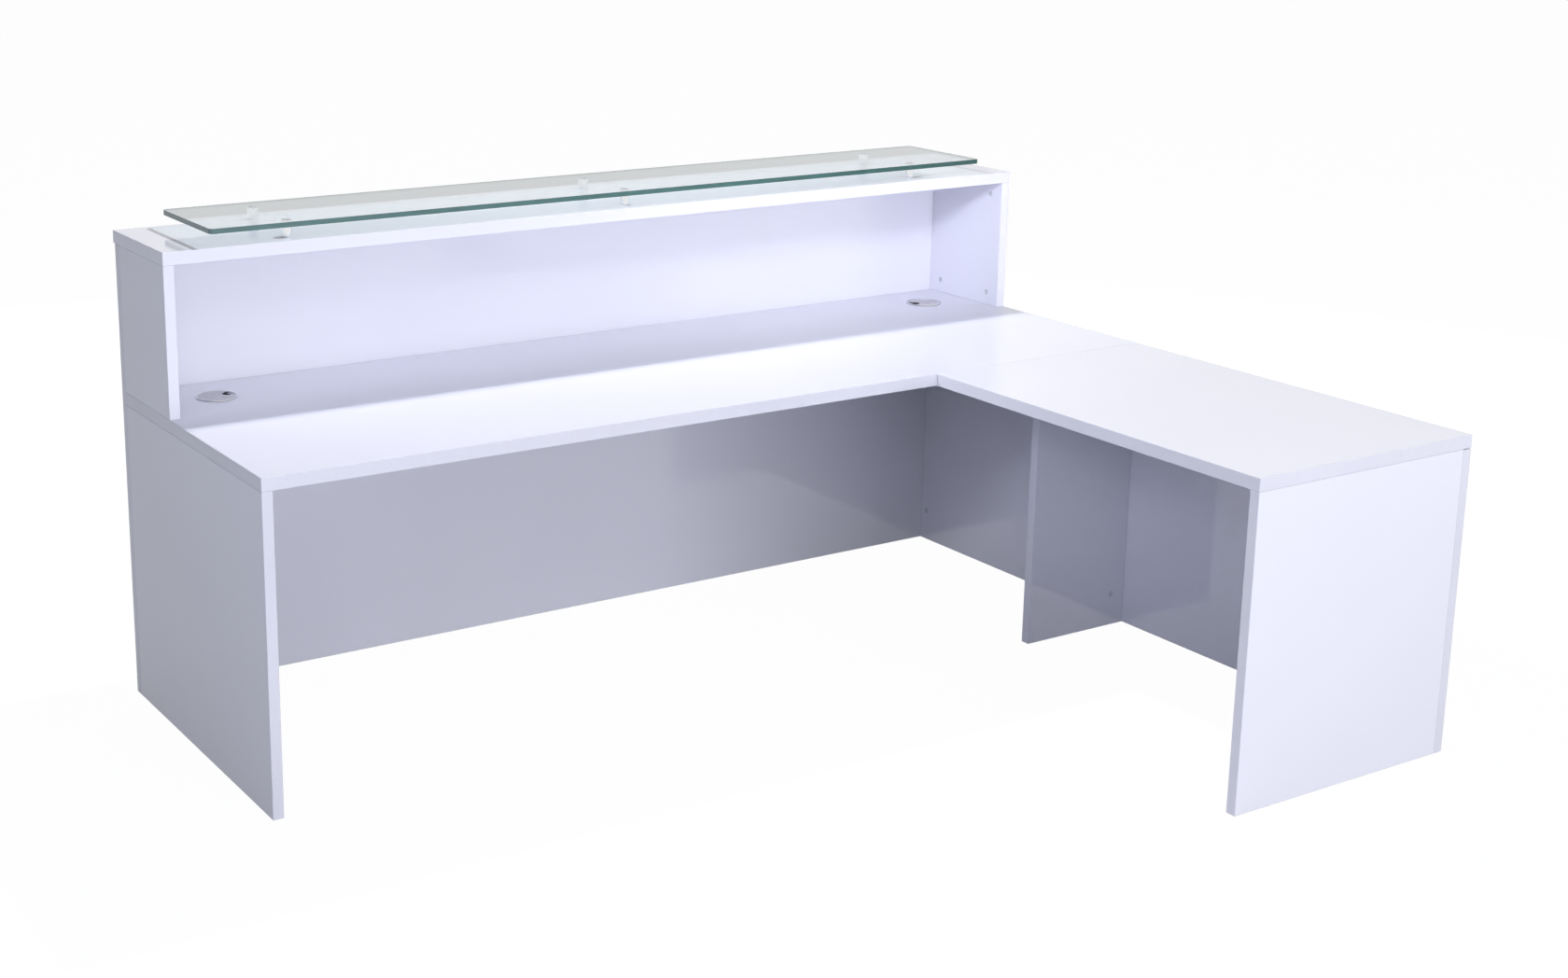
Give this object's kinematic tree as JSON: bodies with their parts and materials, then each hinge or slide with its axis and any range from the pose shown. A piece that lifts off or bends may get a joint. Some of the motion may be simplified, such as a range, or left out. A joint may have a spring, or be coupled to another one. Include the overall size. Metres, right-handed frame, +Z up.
{
  "type": "reception desk",
  "caption": "L-shaped gloss-white reception desk with a return, a raised hob with a clear glass shelf on round posts, and cable grommets with turning caps.",
  "frame": {"origin": "on the floor, under the middle of the desk's bounding box", "axes": "+X along the main worktop towards the end that carries the return, +Y from the staff side to the visitor side, +Z up"},
  "size_m": [2.4, 1.875, 1.162],
  "materials": {
    "white_lacquer": "high-gloss white lacquer on fibreboard",
    "shelf_glass": "clear float glass with polished green edges",
    "post_chrome": "bright chrome",
    "clear_pad": "clear soft pad",
    "silver_plastic": "satin silver moulding",
    "zinc": "raw zinc casting",
    "fitting_steel": "zinc-plated steel",
    "beech": "raw fluted beech"
  },
  "bodies": {
    "desk": {"main_worktop": "white_lacquer", "return_worktop": "white_lacquer", "left_end_panel": "white_lacquer", "right_end_panel": "white_lacquer", "front_fascia": "white_lacquer", "return_fascia": "white_lacquer", "return_end_panel": "white_lacquer", "return_support_panel": "white_lacquer", "hutch_left_panel": "white_lacquer", "hutch_right_panel": "white_lacquer", "hob_top": "white_lacquer", "raised_glass_shelf": "shelf_glass", "staff_left_post": "post_chrome", "staff_middle_post": "post_chrome", "staff_right_post": "post_chrome", "visitor_left_post": "post_chrome", "visitor_middle_post": "post_chrome", "visitor_right_post": "post_chrome", "staff_left_pad": "clear_pad", "staff_middle_pad": "clear_pad", "staff_right_pad": "clear_pad", "visitor_left_pad": "clear_pad", "visitor_middle_pad": "clear_pad", "visitor_right_pad": "clear_pad", "left_grommet_liner": "silver_plastic", "right_grommet_liner": "silver_plastic", "hutch_left_low_staff_cam": "zinc", "hutch_left_low_visitor_cam": "zinc", "hutch_left_high_staff_cam": "zinc", "hutch_left_high_visitor_cam": "zinc", "hutch_right_low_staff_cam": "zinc", "hutch_right_low_visitor_cam": "zinc", "hutch_right_high_staff_cam": "zinc", "hutch_right_high_visitor_cam": "zinc", "left_end_cam": "zinc", "right_end_cam": "zinc", "support_cam": "zinc", "return_end_cam": "zinc", "hutch_left_low_staff_bolt": "fitting_steel", "hutch_left_low_visitor_bolt": "fitting_steel", "hutch_left_high_staff_bolt": "fitting_steel", "hutch_left_high_visitor_bolt": "fitting_steel", "hutch_right_low_staff_bolt": "fitting_steel", "hutch_right_low_visitor_bolt": "fitting_steel", "hutch_right_high_staff_bolt": "fitting_steel", "hutch_right_high_visitor_bolt": "fitting_steel", "left_end_bolt": "fitting_steel", "right_end_bolt": "fitting_steel", "support_bolt": "fitting_steel", "return_end_bolt": "fitting_steel", "corner_joining_plate": "fitting_steel", "support_joining_plate": "fitting_steel", "left_end_first_dowel": "beech", "left_end_second_dowel": "beech", "right_end_first_dowel": "beech", "right_end_second_dowel": "beech", "return_end_first_dowel": "beech", "return_end_second_dowel": "beech"},
    "left_cap": {"left_grommet_cap": "silver_plastic"},
    "right_cap": {"right_grommet_cap": "silver_plastic"}
  },
  "joints": [
    {"name": "left_cap_turn", "type": "hinge", "parent": "desk", "child": "left_cap", "pos_m": [-1.035, 0.7575, 0.745], "axis": [0, 0, 1], "continuous": true},
    {"name": "right_cap_turn", "type": "hinge", "parent": "desk", "child": "right_cap", "pos_m": [1.035, 0.7575, 0.745], "axis": [0, 0, 1], "continuous": true}
  ]
}
